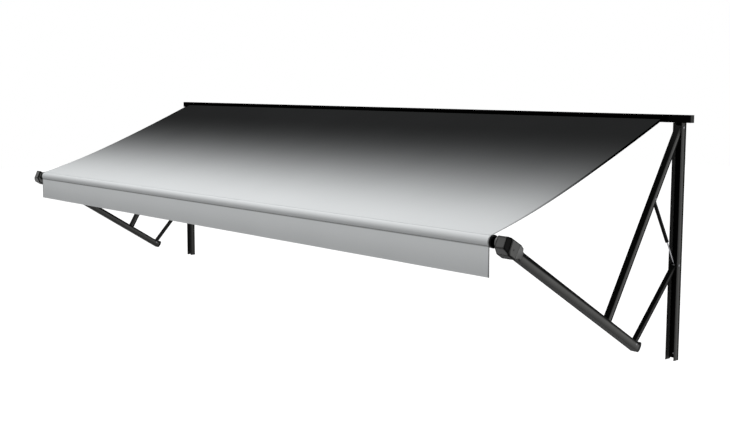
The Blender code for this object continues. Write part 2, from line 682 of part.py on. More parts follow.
def build_head(shop, side, word, joint):
    """Faceted housing on the end of the outer arm with its boss, its cover and the screw in it."""
    centre = Vector((0, HEAD_OFFSET, HEAD_REACH))
    frame = shop.empty(word + "_head_place", centre)
    frame.parent = joint
    offset = side * BRACKET_SPACING / 2
    boss_end, outer = side * HEAD_INNER - offset, side * HEAD_OUTER - offset
    inner = boss_end + side * HEAD_BOSS_LENGTH
    low, high = sorted((inner, outer))
    whole = head_outline(HEAD_TAIL + HEAD_CORNER_WIDTH)
    housing = shop.piece(word + "_head_housing", side_plate([whole], low, high), BLACK_PAINT, frame)
    edge = housing.modifiers.new("edge", "BEVEL")
    edge.width = HEAD_CHAMFER
    edge.segments = 1
    edge.limit_method = "ANGLE"
    edge.angle_limit = math.radians(60)
    far_in, far_out = side * inner, side * outer
    arm_half = OUTER_ARM_WIDTH / 2
    end = HEAD_TAIL - SEAT_GAP
    beyond = HEAD_TAIL + 2 * HEAD_CORNER_WIDTH
    corner = [
        (far_out - HEAD_CORNER_WIDTH, -HEAD_NOSE), (far_out, -HEAD_NOSE + HEAD_CORNER_RUN),
        (far_out + CUT_PAST, -HEAD_NOSE + HEAD_CORNER_RUN), (far_out + CUT_PAST, -HEAD_NOSE - CUT_PAST),
        (far_out - HEAD_CORNER_WIDTH, -HEAD_NOSE - CUT_PAST),
    ]
    outer_taper = [
        (far_out, HEAD_SIDE_BACK), (arm_half, end), (arm_half, beyond),
        (far_out + CUT_PAST, beyond), (far_out + CUT_PAST, HEAD_SIDE_BACK),
    ]
    inner_taper = [
        (far_in, HEAD_INNER_BACK), (-arm_half, end), (-arm_half, beyond),
        (far_in - CUT_PAST, beyond), (far_in - CUT_PAST, HEAD_INNER_BACK),
    ]
    shop.cut(housing, leaning_wedge(corner, side, HEAD_NOSE_LEAN))
    shop.cut(housing, leaning_wedge(outer_taper, side, 0))
    shop.cut(housing, leaning_wedge(inner_taper, side, 0))
    reach = OUTER_ARM_WIDTH
    shop.cut(housing, box_mesh((-reach, -reach, -beyond), (reach, reach, -end)))
    arm_top = OUTER_ARM_DEPTH / 2 - HEAD_OFFSET
    nub = box_mesh((-HEAD_NUB_HALF, arm_top - SPIGOT_ROOT, -HEAD_NUB_BACK),
                   (HEAD_NUB_HALF, HEAD_NUB_TOP, -HEAD_NUB_BACK + HEAD_NUB_LENGTH))
    shop.join(housing, nub)
    boss = rod_mesh((boss_end, 0, 0), (inner + side * CUT_PAST, 0, 0), HEAD_BOSS_RADIUS, ROLLER_ROUND)
    shop.join(housing, boss)
    plug_half = OUTER_ARM_WIDTH / 2 - ARM_WALL - SEAT_GAP
    floor = -OUTER_ARM_DEPTH / 2 + ARM_WALL + SEAT_GAP - HEAD_OFFSET
    spigot = box_mesh((-plug_half, floor, -HEAD_TAIL - SPIGOT_LENGTH),
                      (plug_half, arm_top - EDGE_BREAK, -HEAD_TAIL + SPIGOT_ROOT))
    shop.join(housing, spigot)
    deep = boss_end + side * (MOTOR_SEAT + SEAT_GAP)
    pocket = rod_mesh((boss_end - side * CUT_PAST, 0, 0), (deep, 0, 0), SHAFT_RADIUS + SEAT_GAP,
                      ROLLER_ROUND)
    shop.cut(housing, pocket)
    plate = shrink(side_face(), COVER_INSET)
    near = outer + side * SEAT_GAP
    far = near + side * COVER_THICKNESS
    low, high = sorted((near, far))
    cover = shop.piece(word + "_head_cover", side_plate([plate], low, high), DARK_PLASTIC, frame)
    rim = cover.modifiers.new("edge", "BEVEL")
    rim.width = EDGE_BREAK
    rim.segments = 1
    rim.limit_method = "ANGLE"
    rim.angle_limit = math.radians(60)
    across = sum(point[0] for point in plate) / len(plate)
    along = sum(point[1] for point in plate) / len(plate)
    start = far + side * SEAT_GAP
    screw = rod_mesh((start, across, along), (start + side * HEAD_SCREW_HEIGHT, across, along),
                     HEAD_SCREW_RADIUS, HEX)
    shop.piece(word + "_head_screw", screw, BLACK_PAINT, frame)
    return frame


def build_roller(shop, head_frames):
    """Tube with its fabric turns, its two end plugs, the motor, the drive crown, the idler axle."""
    axis = ROLLER_AXIS
    half = ROLLER_HALF
    joint = shop.empty("roller_joint", axis)
    bore = TUBE_RADIUS - TUBE_WALL
    for word, middle in TUBE_SHELLS:
        reach = 180 / len(TUBE_SHELLS) - math.degrees(SEAT_GAP / 2 / bore)
        shell = arc((0, 0), TUBE_RADIUS, middle - reach, middle + reach, SHELL_STEPS)
        shell += arc((0, 0), bore, middle + reach, middle - reach, SHELL_STEPS)
        shop.piece("roller_tube_" + word, side_plate([shell], -half + SEAT_GAP, half - SEAT_GAP),
                   MILL_ALUMINIUM, joint, smooth=True)
    wrap = shop.piece("fabric_turns", cross_rod(WRAP_RADIUS, half - SEAT_GAP, segments=ROLLER_ROUND),
                      PALE_FABRIC, joint, smooth=True)
    shop.cut(wrap, cross_rod(TUBE_RADIUS + SEAT_GAP, half + CUT_PAST, segments=ROLLER_ROUND))
    for side, word in SIDES:
        hole = MOTOR_RADIUS if side > 0 else SHAFT_RADIUS
        plug = bore - SEAT_GAP
        profile = [
            (half + ROLLER_CAP_THICKNESS, hole + PIN_GAP),
            (half + ROLLER_CAP_THICKNESS, ROLLER_CAP_RADIUS),
            (half, ROLLER_CAP_RADIUS), (half, plug), (half - ROLLER_CAP_PLUG, plug),
            (half - ROLLER_CAP_PLUG, hole + PIN_GAP),
            (half + ROLLER_CAP_THICKNESS, hole + PIN_GAP),
        ]
        turned(shop, word + "_roller_plug", profile, DARK_PLASTIC, joint, steps=ROLLER_ROUND,
               side=side)
    right = head_frames["right"]
    seat = HEAD_INNER - BRACKET_SPACING / 2 + MOTOR_SEAT
    body_end = seat - MOTOR_LENGTH
    body_start = HEAD_INNER - BRACKET_SPACING / 2 - HEAD_INNER_GAP / 2
    motor = [
        (seat, 0), (seat, SHAFT_RADIUS), (body_start, SHAFT_RADIUS), (body_start, MOTOR_RADIUS),
        (body_end, MOTOR_RADIUS), (body_end, SHAFT_RADIUS),
        (body_end - SHAFT_LENGTH, SHAFT_RADIUS), (body_end - SHAFT_LENGTH, 0),
    ]
    turned(shop, "drive_motor", motor, ZINC, right, steps=ROLLER_ROUND)
    crown_start = BRACKET_SPACING / 2 + body_end - SEAT_GAP
    crown = [
        (crown_start, SHAFT_RADIUS + PIN_GAP), (crown_start, bore - SEAT_GAP),
        (crown_start - CROWN_LENGTH, bore - SEAT_GAP),
        (crown_start - CROWN_LENGTH, SHAFT_RADIUS + PIN_GAP),
        (crown_start, SHAFT_RADIUS + PIN_GAP),
    ]
    turned(shop, "drive_crown", crown, DARK_PLASTIC, joint, steps=ROLLER_ROUND)
    left = head_frames["left"]
    start = -HEAD_INNER + BRACKET_SPACING / 2 - MOTOR_SEAT
    shop.piece("idler_axle", rod_mesh((start, 0, 0), (start + IDLER_LENGTH, 0, 0), SHAFT_RADIUS),
               STEEL, left, smooth=True)


def build_short_arm(shop, side, word):
    """Short channel from the lower knee up to the low pivot, with a round boss on each cheek."""
    joint = shop.empty(word + "_short_arm_joint",
                       Vector((side * BRACKET_SPACING / 2, 0, 0)) + LOWER_KNEE, -SHORT_LEAN)
    radius = SHORT_END_RADIUS
    arm = shop.piece(
        word + "_short_arm",
        long_section([channel_loop(SHORT_ARM_WIDTH, SHORT_ARM_DEPTH, ARM_WALL)],
                     -2 * radius, SHORT_ARM_LENGTH + 2 * radius),
        BLACK_PAINT, joint)
    reach = SHORT_ARM_WIDTH
    shop.trim(arm, side_plate([stadium(0, SHORT_ARM_LENGTH, radius, radius)], -reach, reach))
    inner = SHORT_ARM_WIDTH / 2 - ARM_WALL
    for low, high in ((-2 * radius, WEB_CUT),
                      (SHORT_ARM_LENGTH - WEB_CUT, SHORT_ARM_LENGTH + 2 * radius)):
        shop.cut(arm, box_mesh((-inner, -SHORT_ARM_DEPTH, low), (inner, SHORT_ARM_DEPTH, high)))
    shop.cut(arm, cross_rod(PIN_RADIUS + PIN_GAP, reach))
    boss_end = BRACKET_WIDTH / 2 - BRACKET_WALL - SIDE_GAP
    for direction in (-1, 1):
        start = (direction * (inner + ARM_WALL / 2), 0, SHORT_ARM_LENGTH)
        end = (direction * boss_end, 0, SHORT_ARM_LENGTH)
        shop.join(arm, rod_mesh(start, end, TRUNNION_RADIUS, EYE_ROUND))


def build_strut(shop, side, word):
    """Gas strut: cylinder on the long arm, rod running down to the low pivot."""
    joint = shop.empty(word + "_strut_joint",
                       Vector((side * BRACKET_SPACING / 2, 0, 0)) + STRUT_TOP, STRUT_LEAN)
    tube_top = -STRUT_EYE_DROP
    cylinder = shop.piece(
        word + "_strut_cylinder",
        rod_mesh((0, 0, tube_top), (0, 0, -STRUT_TUBE_LENGTH), STRUT_RADIUS, TUBE_ROUND),
        BLACK_PAINT, joint, smooth=True)
    eye = cross_rod(STRUT_EYE_RADIUS, STRUT_EYE_WIDTH / 2, segments=EYE_ROUND)
    neck = box_mesh((-STRUT_EYE_WIDTH / 2, -STRUT_NECK_HALF, tube_top - STRUT_NECK_SUNK),
                    (STRUT_EYE_WIDTH / 2, STRUT_NECK_HALF, -STRUT_NECK_TOP))
    shop.join(cylinder, neck)
    shop.join(cylinder, eye)
    shop.cut(cylinder, cross_rod(PIN_RADIUS + PIN_GAP, STRUT_EYE_WIDTH))
    bore_top = tube_top - STRUT_TOP_WALL
    bore_end = -STRUT_TUBE_LENGTH + STRUT_END_WALL
    shop.cut(cylinder, rod_mesh((0, 0, bore_top), (0, 0, bore_end), STRUT_BORE, TUBE_ROUND))
    shop.cut(cylinder, rod_mesh((0, 0, bore_top), (0, 0, -STRUT_TUBE_LENGTH - CUT_PAST),
                                ROD_RADIUS + PIN_GAP, ROD_ROUND))
    rod_joint = shop.empty(word + "_strut_rod_joint",
                           Vector((side * BRACKET_SPACING / 2, 0, 0)) + LOW_PIVOT, STRUT_LEAN)
    rod_top = STRUT_SPAN - STRUT_TUBE_LENGTH + ROD_INSIDE
    rod = shop.piece(word + "_strut_rod",
                     rod_mesh((0, 0, ROD_FOOT), (0, 0, rod_top), ROD_RADIUS, ROD_ROUND),
                     CHROME, rod_joint, smooth=True)
    piston = rod_mesh((0, 0, rod_top - PISTON_SUNK), (0, 0, rod_top + PISTON_RISE),
                      STRUT_BORE - PIN_GAP, TUBE_ROUND)
    shop.join(rod, piston)
    shop.join(rod, cross_rod(STRUT_EYE_RADIUS, ROD_EYE_WIDTH / 2, segments=EYE_ROUND))
    shop.cut(rod, cross_rod(PIN_RADIUS + PIN_GAP, STRUT_EYE_WIDTH))
    pin_half = SHORT_ARM_WIDTH / 2 - ARM_WALL - SIDE_GAP
    shop.piece(word + "_strut_low_pin", cross_rod(PIN_RADIUS, pin_half), STEEL, rod_joint,
               smooth=True)


def canopy_line(bead):
    """Points of the fabric from the rail groove to the top of the roller, with its sag."""
    held = Vector((bead[0] - BEAD_RADIUS, bead[1]))
    start = Vector((-RAIL_DEPTH - FABRIC_EXIT, bead[1]))
    axis = Vector((ROLLER_AXIS.y, ROLLER_AXIS.z))
    radius = WRAP_RADIUS + SEAT_GAP + FABRIC_THICKNESS / 2
    slope = math.atan2(start.y - axis.y - radius, start.x - axis.x)
    slope -= math.atan(4 * FABRIC_SAG / (start - axis).length)
    end = axis + radius * Vector((-math.sin(slope), math.cos(slope)))
    points = [held]
    for index in range(CANOPY_STEPS + 1):
        share = index / CANOPY_STEPS
        drop = 4 * FABRIC_SAG * share * (1 - share)
        points.append(start.lerp(end, share) - Vector((0, drop)))
    return points


def band(points, thickness):
    """Closed outline of a thin strip that follows a line of points."""
    upper, lower = [], []
    for index, point in enumerate(points):
        before = points[max(index - 1, 0)]
        after = points[min(index + 1, len(points) - 1)]
        run = (after - before).normalized()
        side = Vector((-run.y, run.x)) * thickness / 2
        upper.append(tuple(point + side))
        lower.append(tuple(point - side))
    return upper + lower[::-1]


def build_fabric(shop, bead):
    """Canopy sheet, the valance that hangs from the roller, and the bar in its hem."""
    half = ROLLER_HALF
    shop.piece("canopy", side_plate([band(canopy_line(bead), FABRIC_THICKNESS)], -half, half),
               FABRIC)
    joint = shop.empty("valance_joint", ROLLER_AXIS)
    reach = WRAP_RADIUS + SEAT_GAP
    plane = -math.sqrt(reach**2 - CREASE_DROP**2) - VALANCE_THICKNESS / 2
    bottom = -CREASE_DROP - VALANCE_DROP
    valance = box_mesh((-half, plane - VALANCE_THICKNESS / 2, bottom + 2 * HEM_RADIUS),
                       (half, plane + VALANCE_THICKNESS / 2, -CREASE_DROP))
    shop.piece("valance", valance, PALE_FABRIC, joint)
    hem_z = bottom + HEM_RADIUS - SEAT_GAP
    hem = rod_mesh((-half, plane, hem_z), (half, plane, hem_z), HEM_RADIUS, ROUND)
    shop.piece("valance_hem_bar", hem, PALE_FABRIC, joint, smooth=True)


SIDES = ((-1, "left"), (1, "right"))

# The roller tube is one extrusion, drawn here as four long shells, each with the angle of its
# middle from the wall side upwards. A physics model gives a long tube one hull, which fills its bore.
TUBE_SHELLS = (("back", 0), ("top", 90), ("front", 180), ("bottom", 270))


def main():
    clear_scene()
    shop = Shop()
    bead = build_rail(shop)
    head_frames = {}
    for side, word in SIDES:
        build_bracket(shop, side, word)
        build_pivots(shop, side, word)
        build_long_arm(shop, side, word)
        build_shoe(shop, side, word)
        joint = build_outer_arm(shop, side, word)
        head_frames[word] = build_head(shop, side, word, joint)
        build_short_arm(shop, side, word)
        build_strut(shop, side, word)
    build_roller(shop, head_frames)
    build_fabric(shop, bead)


main()
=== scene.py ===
import json
import math

import bpy
import numpy as np
from mathutils import Matrix, Vector


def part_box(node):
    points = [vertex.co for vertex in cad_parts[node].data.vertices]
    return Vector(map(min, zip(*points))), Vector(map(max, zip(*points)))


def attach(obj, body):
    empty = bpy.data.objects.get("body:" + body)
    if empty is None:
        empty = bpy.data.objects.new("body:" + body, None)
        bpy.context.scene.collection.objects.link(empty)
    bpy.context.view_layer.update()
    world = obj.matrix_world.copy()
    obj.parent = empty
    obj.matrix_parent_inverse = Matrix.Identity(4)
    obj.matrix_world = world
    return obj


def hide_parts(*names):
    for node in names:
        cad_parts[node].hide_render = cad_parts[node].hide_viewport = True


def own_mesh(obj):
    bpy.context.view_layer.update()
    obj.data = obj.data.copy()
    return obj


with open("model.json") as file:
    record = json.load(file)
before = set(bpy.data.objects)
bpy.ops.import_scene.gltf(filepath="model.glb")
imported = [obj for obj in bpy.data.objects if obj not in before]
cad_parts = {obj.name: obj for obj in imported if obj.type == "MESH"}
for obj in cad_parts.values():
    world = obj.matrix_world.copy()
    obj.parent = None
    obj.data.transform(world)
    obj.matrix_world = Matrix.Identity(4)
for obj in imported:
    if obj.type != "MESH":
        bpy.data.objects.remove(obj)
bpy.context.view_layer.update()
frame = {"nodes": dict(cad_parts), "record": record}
nodes = frame["nodes"]
print("awning: frame loaded,", len(nodes), "pieces")


# Small helpers for meshes and node trees

# Quads over a grid of points, rows by columns; closeAcross joins the last column to the first.
def gridMesh(name, points, closeAcross=False, uv=None):
    rows, columns = points.shape[:2]
    index = np.arange(rows * columns).reshape(rows, columns)
    right = np.roll(index, -1, axis=1) if closeAcross else index[:, 1:]
    left = index if closeAcross else index[:, :-1]
    quads = np.stack([left[:-1], right[:-1], right[1:], left[1:]], axis=-1).reshape(-1, 4)
    mesh = bpy.data.meshes.new(name)
    mesh.from_pydata(points.reshape(-1, 3).tolist(), [], quads.tolist())
    if uv is not None:
        layer = mesh.uv_layers.new(name="cloth")
        flat = uv.reshape(-1, 2)[quads.reshape(-1)]
        layer.data.foreach_set("uv", flat.astype(np.float32).ravel())
    mesh.shade_smooth()
    mesh.update()
    piece = bpy.data.objects.new(name, mesh)
    bpy.context.scene.collection.objects.link(piece)
    return piece


# Grids of the share across a cloth, u, and down it, v.
def shareGrid(columns, rows, across=(0.0, 1.0), down=(0.0, 1.0)):
    v, u = np.meshgrid(np.linspace(*down, rows), np.linspace(*across, columns), indexing="ij")
    return u, v


# Places on the flat cloth: metres from the middle of its width and from its upper edge.
def flatPlace(u, v, length):
    return np.stack([(u - 0.5) * fabricWidth, v * length], axis=-1)


def finish(piece, material, body):
    piece.data.materials.clear()
    piece.data.materials.append(material)
    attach(piece, body)
    return piece


# Short names for adding and joining nodes in one tree.
class Wiring:
    def __init__(self, tree):
        self.tree = tree

    def put(self, socket, value):
        if isinstance(value, bpy.types.NodeSocket):
            self.tree.links.new(value, socket)
        else:
            socket.default_value = value

    def add(self, kind, values=None, **settings):
        node = self.tree.nodes.new(kind)
        for key, value in settings.items():
            setattr(node, key, value)
        for key, value in (values or {}).items():
            self.put(node.inputs[key], value)
        return node

    def calc(self, kind, *values, clamp=False):
        node = self.add("ShaderNodeMath", dict(enumerate(values)), operation=kind, use_clamp=clamp)
        return node.outputs[0]

    # A value times a gain, plus a start.
    def scaled(self, value, gain, start):
        return self.calc("MULTIPLY_ADD", value, gain, start)

    def vector(self, kind, first, second):
        node = self.add("ShaderNodeVectorMath", {0: first, 1: second}, operation=kind)
        return node.outputs["Value" if kind == "DOT_PRODUCT" else "Vector"]

    def parts(self, vector):
        return self.add("ShaderNodeSeparateXYZ", {0: vector}).outputs

    # Smooth step between two places, from a low value to a high one.
    def smooth(self, value, start, end, low=0.0, high=1.0):
        node = self.add("ShaderNodeMapRange", {"Value": value, "From Min": start, "From Max": end,
                                               "To Min": low, "To Max": high},
                        interpolation_type="SMOOTHSTEP")
        return node.outputs["Result"]

    def noise(self, place, scale, detail):
        node = self.add("ShaderNodeTexNoise", {"Vector": place, "Scale": scale, "Detail": detail})
        return node.outputs["Fac"]

    # Grey of a level that the tint shares out to red, green and blue.
    def tinted(self, level, tint):
        node = self.add("ShaderNodeCombineColor")
        for channel, share in enumerate(tint):
            self.put(node.inputs[channel], self.calc("MULTIPLY", level, share))
        return node.outputs[0]

    def ownPlace(self):
        return self.add("ShaderNodeTexCoord").outputs["Object"]

    def effect(self, name, values):
        return self.add("ShaderNodeGroup", values, node_tree=groups[name]).outputs


# An empty node group: its tree, its wiring, the sockets it is given and those it fills.
def newGroup(name, inputs, outputs):
    tree = bpy.data.node_groups.new(name, "ShaderNodeTree")
    for label, kind in inputs:
        tree.interface.new_socket(name=label, in_out="INPUT", socket_type="NodeSocket" + kind)
    for label in outputs:
        tree.interface.new_socket(name=label, in_out="OUTPUT", socket_type="NodeSocketFloat")
    w = Wiring(tree)
    return tree, w, w.add("NodeGroupInput").outputs, w.add("NodeGroupOutput").inputs


# Shared surface effects

grainForm = {"detail": 2.0, "patchScale": 6.0, "patchDetail": 4.0}


# Powder coat: a fine orange peel as height, and broad faint patches of sheen.
def coatGrain():
    tree, w, given, put = newGroup(
        "coatGrain", [("Place", "Vector"), ("Grain", "Float")], ["Height", "Patch"])
    w.put(put["Height"], w.noise(given["Place"], given["Grain"], grainForm["detail"]))
    w.put(put["Patch"], w.noise(given["Place"], grainForm["patchScale"], grainForm["patchDetail"]))
    return tree


# Where each mask of faceTurn starts and is full
turnMasks = {"Side": (0.80, 0.98), "ShadedCorner": (0.45, 0.90), "ShadedBorder": (0.0, 0.035),
             "Level": (0.90, 0.97)}
turnSamples = 8


# How a face lies, as masks for painted light and shade: Side is 1 where its normal runs along X, as
# a smooth step of the size of the normal's X share. ShadedCorner is 1 where it leans halfway, as a
# smooth step of four times the squared
# X share times the rest. Level is 1 where it runs along the given way, up or down. ShadedBorder is
# 1 near the rim, where a normal rounded over the given width leaves the flat one.
def faceTurn():
    tree, w, given, put = newGroup(
        "faceTurn", [("Way", "Vector"), ("Width", "Float")], list(turnMasks))
    flat = w.add("ShaderNodeNewGeometry").outputs["True Normal"]
    own = w.add("ShaderNodeVectorTransform", {0: flat}, vector_type="NORMAL",
                convert_from="WORLD", convert_to="OBJECT").outputs[0]
    rounded = w.add("ShaderNodeBevel", {"Radius": given["Width"]}, samples=turnSamples).outputs[0]
    x = w.parts(own)[0]
    share = w.calc("MULTIPLY", x, x)
    half = w.calc("MULTIPLY", w.calc("MULTIPLY", share, 4.0), w.calc("SUBTRACT", 1.0, share))
    values = {"Side": w.calc("ABSOLUTE", x), "ShadedCorner": half,
              "ShadedBorder": w.calc("SUBTRACT", 1.0, w.vector("DOT_PRODUCT", rounded, flat)),
              "Level": w.calc("ABSOLUTE", w.vector("DOT_PRODUCT", own, given["Way"]))}
    for label, value in values.items():
        w.put(put[label], w.smooth(value, *turnMasks[label]))
    return tree


# Place at the start and the end of each step, and the share of light there
bandSteps = {"rise": (-1.0, 0.25, 0.34, 1.0), "fall": (0.15, 0.55, 1.0, 0.0)}


# Share of light across a rolled side face, from -1 at its front edge to 1 at its edge by the wall:
# a slow smooth rise from the front, times a quick smooth fall to black past the middle.
def rolledBand():
    tree, w, given, put = newGroup(
        "rolledBand", [("Place", "Vector"), ("Middle", "Vector"), ("Way", "Vector")], ["Light"])
    off = w.vector("SUBTRACT", given["Place"], given["Middle"])
    across = w.vector("DOT_PRODUCT", off, given["Way"])
    steps = [w.smooth(across, *step) for step in bandSteps.values()]
    w.put(put["Light"], w.calc("MULTIPLY", *steps))
    return tree


wearForm = {"width": 0.0012, "samples": 4, "gain": 9.0, "scale": 70.0, "detail": 5.0}


# Where a rounded normal leaves the flat one there is an edge; noise breaks the wear up.
def edgeWear():
    tree, w, given, put = newGroup("edgeWear", [("Place", "Vector"), ("Amount", "Float")], ["Mask"])
    soft = w.add("ShaderNodeBevel", {"Radius": wearForm["width"]},
                 samples=wearForm["samples"]).outputs[0]
    flat = w.add("ShaderNodeNewGeometry").outputs["Normal"]
    turned = w.calc("SUBTRACT", 1.0, w.vector("DOT_PRODUCT", soft, flat))
    edge = w.calc("MULTIPLY", turned, wearForm["gain"], clamp=True)
    worn = w.calc("MULTIPLY", edge, w.noise(given["Place"], wearForm["scale"], wearForm["detail"]))
    w.put(put["Mask"], w.calc("MULTIPLY", worn, given["Amount"], clamp=True))
    return tree


weaveForm = {"slubScale": 260.0, "cloudScale": 1.7, "detail": 3.0, "slubShare": 0.3,
             "cloudShare": 0.7}


# Plain weave: two crossed sine waves, one for each set of threads, with uneven thread weight.
def clothWeave():
    tree, w, given, put = newGroup(
        "clothWeave", [("Place", "Vector"), ("Pitch", "Float")], ["Height", "Tone"])
    turn = w.calc("DIVIDE", 2 * math.pi, given["Pitch"])
    across, along = w.parts(given["Place"])[:2]
    threads = [w.calc("SINE", w.calc("MULTIPLY", way, turn)) for way in (across, along)]
    slub = w.noise(given["Place"], weaveForm["slubScale"], weaveForm["detail"])
    cloud = w.noise(given["Place"], weaveForm["cloudScale"], weaveForm["detail"])
    w.put(put["Height"], w.calc("ADD", w.calc("MULTIPLY", *threads), slub))
    w.put(put["Tone"], w.calc("ADD", w.calc("MULTIPLY", cloud, weaveForm["cloudShare"]),
                              w.calc("MULTIPLY", slub, weaveForm["slubShare"])))
    return tree


lineForm = {"scale": 1.0, "detail": 3.0}


# Fine lathe or brush lines as height: noise that is stretched by the given numbers.
def turnedLines():
    tree, w, given, put = newGroup(
        "turnedLines", [("Place", "Vector"), ("Stretch", "Vector")], ["Height"])
    place = w.vector("MULTIPLY", given["Place"], given["Stretch"])
    w.put(put["Height"], w.noise(place, lineForm["scale"], lineForm["detail"]))
    return tree


groups = {"coat": coatGrain(), "wear": edgeWear(), "weave": clothWeave(), "lines": turnedLines(),
          "turn": faceTurn(), "band": rolledBand()}
print("awning: surface effects ready")


# Materials

def startMaterial(name):
    material = bpy.data.materials.new(name)
    material.use_nodes = True
    w = Wiring(material.node_tree)
    return material, w, material.node_tree.nodes["Principled BSDF"].inputs


def bumpInto(w, shader, height, strength, distance):
    bump = w.add("ShaderNodeBump", {"Height": height, "Strength": strength, "Distance": distance})
    w.put(shader["Normal"], bump.outputs[0])


# The highlight gain lifts a painted highlight stripe on each head by the hub.
coatForm = {"patchGain": 0.5, "collarHighlightGain": 0.5, "roughnessSpan": 0.12, "bumpDistance": 0.0002,
            "tint": (1.0, 1.0, 0.97)}


# Black powder coat or moulded plastic. Its grey runs from a painted shade level on the webs to a
# painted lit level on the side faces, up by the patch gain with the uneven patches, and down by
# painted shade: the flat share on faces across the way, the shade share on faces that lean halfway
# and the shade share along rims. Nearer to the middle of the awning than the hub place it is black,
# and it is up by the highlight gain for the width of the painted highlight stripe beyond.
# Last it goes over to the worn level where the coat is rubbed. Webs keep a share of the gloss. A
# rolled section gives its middle and its way for the painted band of light.
def coated(name, look, rolled=None):
    material, w, shader = startMaterial(name)
    place = w.ownPlace()
    coat = w.effect("coat", {"Place": place, "Grain": look["grain"]})
    rub = w.effect("wear", {"Place": place, "Amount": look["wear"]})["Mask"]
    turn = w.effect("turn", {"Way": look["way"], "Width": look["borderShadeWidth"]})
    patch, lit = coat["Patch"], turn["Side"]
    if rolled:
        middle, way = rolled
        band = w.effect("band", {"Place": place, "Middle": middle, "Way": way})
        lit = w.calc("MULTIPLY", lit, band["Light"])
    shares = []
    # Black inside the hub place; a painted highlight stripe just beyond it.
    if look["hub"]:
        out = w.calc("ABSOLUTE", w.parts(place)[0])
        highlightCollar = w.calc("LESS_THAN", out, look["hub"] + look["highlightCollar"])
        shares = [w.calc("GREATER_THAN", out, look["hub"]),
                  w.scaled(highlightCollar, coatForm["collarHighlightGain"], 1.0)]
    # Painted shade on flat faces, on faces that lean halfway and along rims.
    for mask, part in (("Level", "flat"), ("ShadedCorner", "cornerShade"), ("ShadedBorder", "borderShade")):
        if look[part]:
            shares.append(w.scaled(turn[mask], -look[part], 1.0))

    # Side faces get a painted lit level, webs a painted shade level.
    level = w.scaled(lit, look["side"] - look["web"], look["web"])
    for share in (w.scaled(patch, coatForm["patchGain"], 1.0), *shares):
        level = w.calc("MULTIPLY", level, share)
    level = w.scaled(rub, w.calc("SUBTRACT", look["worn"], level), level)
    w.put(shader["Base Color"], w.tinted(level, coatForm["tint"]))

    if look["webGloss"] < 1:
        shares.append(w.scaled(lit, 1.0 - look["webGloss"], look["webGloss"]))
    shine = look["specular"]
    for share in shares:
        shine = w.calc("MULTIPLY", share, shine)
    w.put(shader["Specular IOR Level"], shine)
    span = coatForm["roughnessSpan"]
    w.put(shader["Roughness"], w.scaled(patch, span, look["roughness"] - span / 2))
    bumpInto(w, shader, coat["Height"], look["bump"], coatForm["bumpDistance"])
    return material


metalForm = {"darkShare": 0.72, "tint": (1.0, 1.0, 1.05), "roughnessSpan": 0.16, "bump": 0.15,
             "bumpDistance": 0.0001}


# Turned, drawn or plated metal with fine lines that also vary its grey and its gloss.
def bareMetal(name, colour, roughness, stretch):
    material, w, shader = startMaterial(name)
    tone = w.effect("lines", {"Place": w.ownPlace(), "Stretch": stretch})["Height"]
    dark, span = metalForm["darkShare"], metalForm["roughnessSpan"]
    level = w.scaled(tone, colour * (1.0 - dark), colour * dark)
    w.put(shader["Base Color"], w.tinted(level, metalForm["tint"]))
    w.put(shader["Roughness"], w.scaled(tone, span, roughness - span / 2))
    w.put(shader["Metallic"], 1.0)
    bumpInto(w, shader, tone, metalForm["bump"], metalForm["bumpDistance"])
    return material


clothLook = {
    "darkLevel": 0.155,       # display level of the black by the rail
    "paleLevel": 0.818,       # display level of the grey at the roller
    "rollLevel": 0.860,       # the same cloth where it lies on the roller
    "fadeStart": 0.14,        # share of the way from rail to roller
    "fadeEnd": 1.02,
    "valanceTop": 0.91,       # display levels of the hanging cloth
    "valanceBottom": 0.83,
    # The next two set a painted shade along the valance's top, where it leaves the roller.
    "creaseShadeDepth": 0.36,       # how much darker the line is where the valance leaves the roller
    "creaseShadeWidth": 0.012,
    "bindingDark": 0.30,      # how much darker the valance's bound side edges are, as a share
    "canopyBinding": 0.15,    # the same for the canopy's
    "bindingBlack": 0.22,     # and what they lose besides where the cloth is black
    "bindingWidth": 0.010,    # its width on pale and on black cloth
    "bindingWide": 0.030,
    "bindingSoft": 0.3,       # share of the width over which its edge fades
    "topBand": 0.050,         # width of the black binding along the rail
    "topBandSoft": 1.2,       # where it has faded, as a share of the width
    "topBandShare": 0.1,      # share of the tone that it keeps
    "unevenness": 0.022,
    "leastTone": 0.02,
    "displayPower": 2.2,
    "coolTint": (0.965, 0.99, 1.0),
    "threadPitch": 0.0011,
    "bump": 0.25,
    "bumpDistance": 0.00012,
    "roughness": 0.70,
    "specular": 0.0,
}
